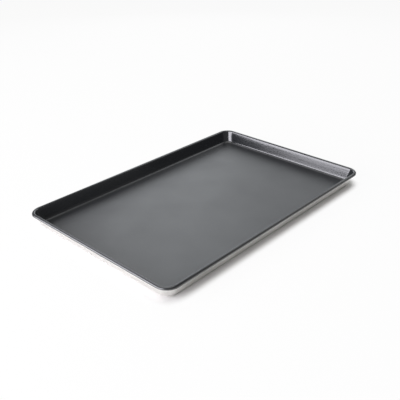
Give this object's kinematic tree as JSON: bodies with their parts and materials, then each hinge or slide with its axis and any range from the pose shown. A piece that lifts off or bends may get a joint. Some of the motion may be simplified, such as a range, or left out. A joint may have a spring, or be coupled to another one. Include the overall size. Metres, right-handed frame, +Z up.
{
  "type": "shallow cake pan",
  "caption": "Shallow rectangular cake pan drawn from aluminium sheet, with leaning walls, round corners, a rolled rim over a wire and a dark non-stick film inside.",
  "frame": {"origin": "centre of the underside, on the surface that the pan stands on", "axes": "+X along the length, +Y along the width, +Z up out of the pan"},
  "size_m": [0.6, 0.4, 0.03],
  "materials": {
    "bare_aluminium": "satin",
    "wire_steel": "satin",
    "nonstick_film": "satin"
  },
  "bodies": {
    "root": {"pan_body": "bare_aluminium", "rim_wire": "wire_steel", "nonstick_coating": "nonstick_film"}
  },
  "joints": []
}
